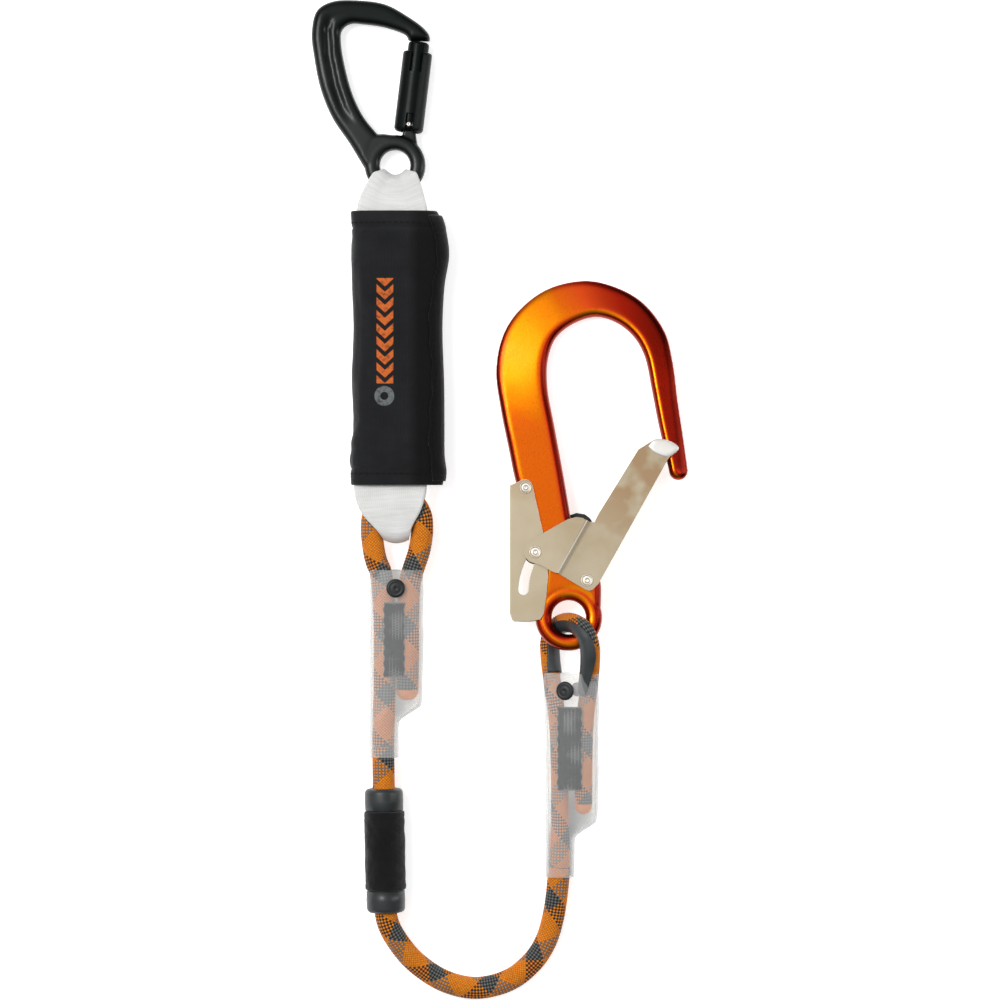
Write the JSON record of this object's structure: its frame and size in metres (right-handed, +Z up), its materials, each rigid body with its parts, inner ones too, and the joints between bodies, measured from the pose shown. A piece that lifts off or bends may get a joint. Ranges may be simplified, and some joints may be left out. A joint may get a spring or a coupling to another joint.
{
  "type": "shock absorbing lanyard",
  "caption": "Fall-arrest lanyard: locking karabiner, tear-webbing absorber in a fabric cover, kernmantle rope with a sliding grip, and a large scaffold hook.",
  "frame": {"origin": "on the table that the lanyard lies on, under the middle of the absorber's cover", "axes": "+Y along the absorber towards the karabiner, +Z up from the table, +X towards the scaffold hook"},
  "size_m": [0.2446, 0.6501, 0.0413],
  "materials": {
    "black_anodised": "satin black anodised",
    "bright_steel": "polished",
    "spring_steel": "drawn wire",
    "plated_steel": "yellow passivated, satin",
    "brass": "turned",
    "orange_alloy": "orange anodised, polished",
    "white_webbing": "white polyester webbing",
    "tear_webbing": "tear-ply webbing",
    "thread": "dark grey bonded thread",
    "black_fabric": "woven black fabric",
    "rope_sheath": "orange and dark grey braid",
    "clear_sleeve": "frosted clear plastic",
    "black_plastic": "moulded",
    "grey_plastic": "moulded",
    "grey_rubber": "matt"
  },
  "bodies": {
    "absorber": {"absorber_cover": "black_fabric", "absorber_cover_flap": "black_fabric", "tear_webbing_pack": "tear_webbing", "tear_pack_upper_stitching": "thread", "tear_pack_lower_stitching": "thread", "upper_webbing_loop": "white_webbing", "upper_loop_stitching": "thread", "lower_webbing_loop": "white_webbing", "lower_loop_stitching": "thread"},
    "karabiner": {"karabiner_frame": "black_anodised", "karabiner_hinge_pin": "bright_steel"},
    "karabiner_gate": {"karabiner_gate": "black_anodised", "karabiner_gate_plunger": "bright_steel", "karabiner_gate_spring": "spring_steel", "karabiner_sleeve_spring": "spring_steel"},
    "karabiner_sleeve": {"karabiner_lock_sleeve": "black_anodised"},
    "rope": {"upper_rope_eye": "rope_sheath", "upper_splice_stitching": "thread", "upper_splice_cover": "clear_sleeve", "upper_cover_button": "black_plastic", "upper_cover_stud": "black_plastic", "rope_run": "rope_sheath", "lower_rope_eye": "rope_sheath", "rope_thimble": "grey_plastic", "lower_splice_stitching": "thread", "lower_splice_cover": "clear_sleeve", "lower_cover_button": "black_plastic", "lower_cover_stud": "black_plastic"},
    "grip": {"grip_tube": "grey_rubber", "grip_wrap": "black_fabric"},
    "hook": {"hook_body": "orange_alloy", "hook_gate_bush": "brass", "hook_trigger_bush": "brass"},
    "hook_gate": {"hook_gate": "plated_steel", "hook_gate_rivet": "plated_steel", "hook_slot_pin": "plated_steel", "hook_gate_spring": "spring_steel"},
    "hook_trigger": {"hook_trigger": "plated_steel", "hook_trigger_rivet": "plated_steel"}
  },
  "joints": [
    {"name": "karabiner_swing", "type": "hinge", "parent": "absorber", "child": "karabiner", "pos_m": [-0.00065, 0.1196, 0.0097], "axis": [0, 0, 1], "range_deg": [-20, 20]},
    {"name": "karabiner_gate_hinge", "type": "hinge", "parent": "karabiner", "child": "karabiner_gate", "pos_m": [0.00845, 0.1459, 0.0097], "axis": [0, 0, 1], "range_deg": [0, 22], "stiffness_Nm_per_rad": 0.2, "springref_deg": -22.92},
    {"name": "sleeve_twist", "type": "hinge", "parent": "karabiner_gate", "child": "karabiner_sleeve", "pos_m": [0.00845, 0.1459, 0.0097], "axis": [0.1201, 0.9928, 0], "range_deg": [0, 80], "stiffness_Nm_per_rad": 0.02, "springref_deg": -28.65},
    {"name": "rope_swing", "type": "hinge", "parent": "absorber", "child": "rope", "pos_m": [0.00065, -0.1125, 0.0135], "axis": [0, 0, 1], "range_deg": [-8, 6]},
    {"name": "grip_slide", "type": "slide", "parent": "rope", "child": "grip", "axis": [-0.0184, 0.9998, 0], "range_m": [0, 0.016]},
    {"name": "hook_swing", "type": "hinge", "parent": "rope", "child": "hook", "pos_m": [0.1121, -0.1742, 0.021], "axis": [0, 0.0715, 0.9974], "range_deg": [-15, 5]},
    {"name": "hook_gate_hinge", "type": "hinge", "parent": "hook", "child": "hook_gate", "pos_m": [0.1238, -0.15056, 0.01931], "axis": [0, 0.0715, 0.9974], "range_deg": [0, 38], "stiffness_Nm_per_rad": 0.4, "springref_deg": -22.92},
    {"name": "hook_trigger_hinge", "type": "hinge", "parent": "hook", "child": "hook_trigger", "pos_m": [0.0842, -0.09061, 0.01501], "axis": [0, 0.0715, 0.9974], "range_deg": [0, 3.1]}
  ],
  "couplings": [
    {"joint": "hook_trigger_hinge", "follows": "hook_gate_hinge", "ratio": 0.08}
  ]
}
